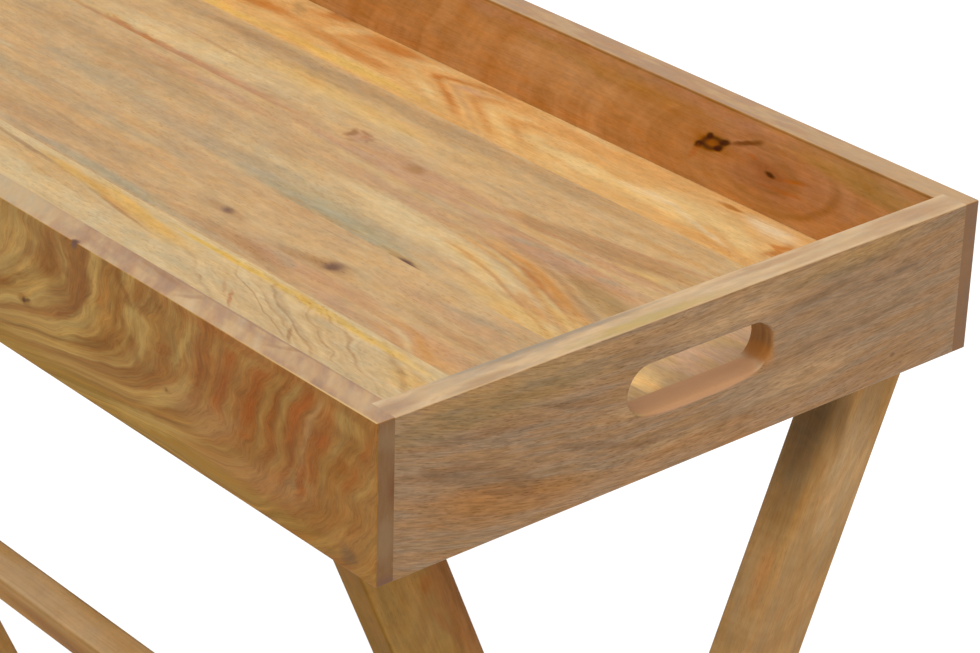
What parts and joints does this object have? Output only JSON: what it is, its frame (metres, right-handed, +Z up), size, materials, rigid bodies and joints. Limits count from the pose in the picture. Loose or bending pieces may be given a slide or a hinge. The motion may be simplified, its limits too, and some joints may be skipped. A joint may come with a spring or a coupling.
{
  "type": "butler tray",
  "caption": "Deep rectangular wooden tray with a hand hole in each end, on a folding stand of two crossed frames.",
  "frame": {"origin": "on the floor, under the middle of the tray, centre of the foot of the bounding box", "axes": "+X along the tray's long side, towards the end the picture shows; +Y from the picture's near side to the far side, across the tray; +Z up"},
  "size_m": [0.84, 0.4, 0.8506],
  "materials": {
    "side_board_wood": "satin clear varnish over figured golden brown wood",
    "end_board_wood": "satin clear varnish over straight-grained greyish brown wood",
    "base_wood": "satin clear varnish over pale honey planks",
    "stand_wood": "satin clear varnish over golden brown wood",
    "pivot_steel": "plain plated steel",
    "washer_nylon": "natural nylon"
  },
  "bodies": {
    "outer_frame": {"outer_leg_right": "stand_wood", "outer_leg_left": "stand_wood", "outer_top_rail": "stand_wood", "outer_bottom_rail": "stand_wood", "pivot_bolt_right": "pivot_steel", "pivot_bolt_left": "pivot_steel", "pivot_nut_right": "pivot_steel", "pivot_nut_left": "pivot_steel", "pivot_washer_right": "washer_nylon", "pivot_washer_left": "washer_nylon"},
    "inner_frame": {"inner_leg_right": "stand_wood", "inner_leg_left": "stand_wood", "inner_top_rail": "stand_wood", "inner_middle_rail": "stand_wood"},
    "tray": {"tray_side_front": "side_board_wood", "tray_side_back": "side_board_wood", "tray_end_right": "end_board_wood", "tray_end_left": "end_board_wood", "base_plank_1": "base_wood", "base_plank_2": "base_wood", "base_plank_3": "base_wood", "base_plank_4": "base_wood", "base_plank_5": "base_wood", "base_plank_6": "base_wood"}
  },
  "joints": [
    {"name": "tray_lift", "type": "slide", "parent": "outer_frame", "child": "tray", "axis": [0, 0, 1], "range_m": [0, 0.2]},
    {"name": "stand_fold", "type": "hinge", "parent": "outer_frame", "child": "inner_frame", "pos_m": [0, 0, 0.38232], "axis": [-1, 0, 0], "range_deg": [0, 38]}
  ],
  "couplings": [
    {"joint": "stand_fold", "follows": "tray_lift", "rad_per_m": 3.3161}
  ]
}
